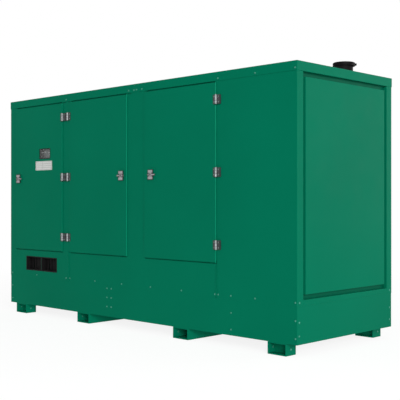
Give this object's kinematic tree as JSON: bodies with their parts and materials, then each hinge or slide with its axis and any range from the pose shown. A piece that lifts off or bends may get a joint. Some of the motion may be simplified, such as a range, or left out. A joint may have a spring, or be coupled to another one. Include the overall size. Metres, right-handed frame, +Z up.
{
  "type": "diesel generator set",
  "caption": "Sound-attenuated diesel generator set: steel base with fork pockets, boxed canopy with hinged service doors, recessed ends, roof lid and exhaust stack.",
  "frame": {"origin": "on the ground, under the middle of the bounding box", "axes": "+X along the length towards the exhaust end, -Y the front with the control window, +Z up"},
  "size_m": [3.19, 1.147, 1.965],
  "materials": {
    "enclosure_paint": "satin",
    "tank_paint": "satin",
    "black_rubber": "matte",
    "black_paint": "satin",
    "hinge_black": "satin",
    "handle_alloy": "satin",
    "window_pane": "gloss",
    "plate_white": "satin",
    "engine_paint": "satin",
    "alternator_paint": "satin",
    "radiator_black": "satin",
    "exhaust_steel": "satin",
    "cabinet_paint": "satin"
  },
  "bodies": {
    "enclosure": {"base_side_rails": "enclosure_paint", "base_end_rails": "enclosure_paint", "base_tank": "tank_paint", "fork_pockets": "enclosure_paint", "feet": "enclosure_paint", "front_right_panel": "enclosure_paint", "front_posts": "enclosure_paint", "front_sill": "enclosure_paint", "cable_entry_panel": "enclosure_paint", "cable_entry_edging": "black_rubber", "top_rails": "enclosure_paint", "back_right_panel": "enclosure_paint", "back_posts": "enclosure_paint", "back_sill": "enclosure_paint", "right_end_panel": "enclosure_paint", "left_end_panel": "enclosure_paint", "air_inlet_louvre": "enclosure_paint", "roof_lid": "enclosure_paint", "roof_outlet_grille": "black_paint", "exhaust_stack": "black_paint", "rain_cap": "black_paint", "frame_hinges": "hinge_black", "back_doors": "enclosure_paint", "back_hinges": "hinge_black", "back_latches": "handle_alloy", "engine": "engine_paint", "alternator": "alternator_paint", "radiator": "radiator_black", "silencer": "exhaust_steel", "skid_rails": "tank_paint", "control_cabinet": "cabinet_paint"},
    "left_door": {"left_door": "enclosure_paint", "left_door_hinges": "hinge_black", "left_latch_plate": "enclosure_paint", "control_window": "window_pane", "data_plate": "plate_white"},
    "middle_door": {"middle_door": "enclosure_paint", "middle_door_hinges": "hinge_black", "middle_latch_plate": "enclosure_paint"},
    "right_door": {"right_door": "enclosure_paint", "right_door_hinges": "hinge_black", "right_latch_plate": "enclosure_paint"},
    "left_handle": {"left_handle": "handle_alloy"},
    "middle_handle": {"middle_handle": "handle_alloy"},
    "right_handle": {"right_handle": "handle_alloy"}
  },
  "joints": [
    {"name": "left_door_swing", "type": "hinge", "parent": "enclosure", "child": "left_door", "pos_m": [-0.81, -0.5655, 1.17], "axis": [0, 0, 1], "range_deg": [0, 90]},
    {"name": "middle_door_swing", "type": "hinge", "parent": "enclosure", "child": "middle_door", "pos_m": [-0.738, -0.5655, 1.17], "axis": [0, 0, -1], "range_deg": [0, 90]},
    {"name": "right_door_swing", "type": "hinge", "parent": "enclosure", "child": "right_door", "pos_m": [0.919, -0.5655, 1.17], "axis": [0, 0, 1], "range_deg": [0, 90]},
    {"name": "left_handle_turn", "type": "hinge", "parent": "left_door", "child": "left_handle", "pos_m": [-1.446, -0.56, 1.167], "axis": [0, -1, 0], "range_deg": [0, 90]},
    {"name": "middle_handle_turn", "type": "hinge", "parent": "middle_door", "child": "middle_handle", "pos_m": [-0.067, -0.56, 1.167], "axis": [0, -1, 0], "range_deg": [0, 90]},
    {"name": "right_handle_turn", "type": "hinge", "parent": "right_door", "child": "right_handle", "pos_m": [0.266, -0.56, 1.167], "axis": [0, -1, 0], "range_deg": [0, 90]}
  ]
}
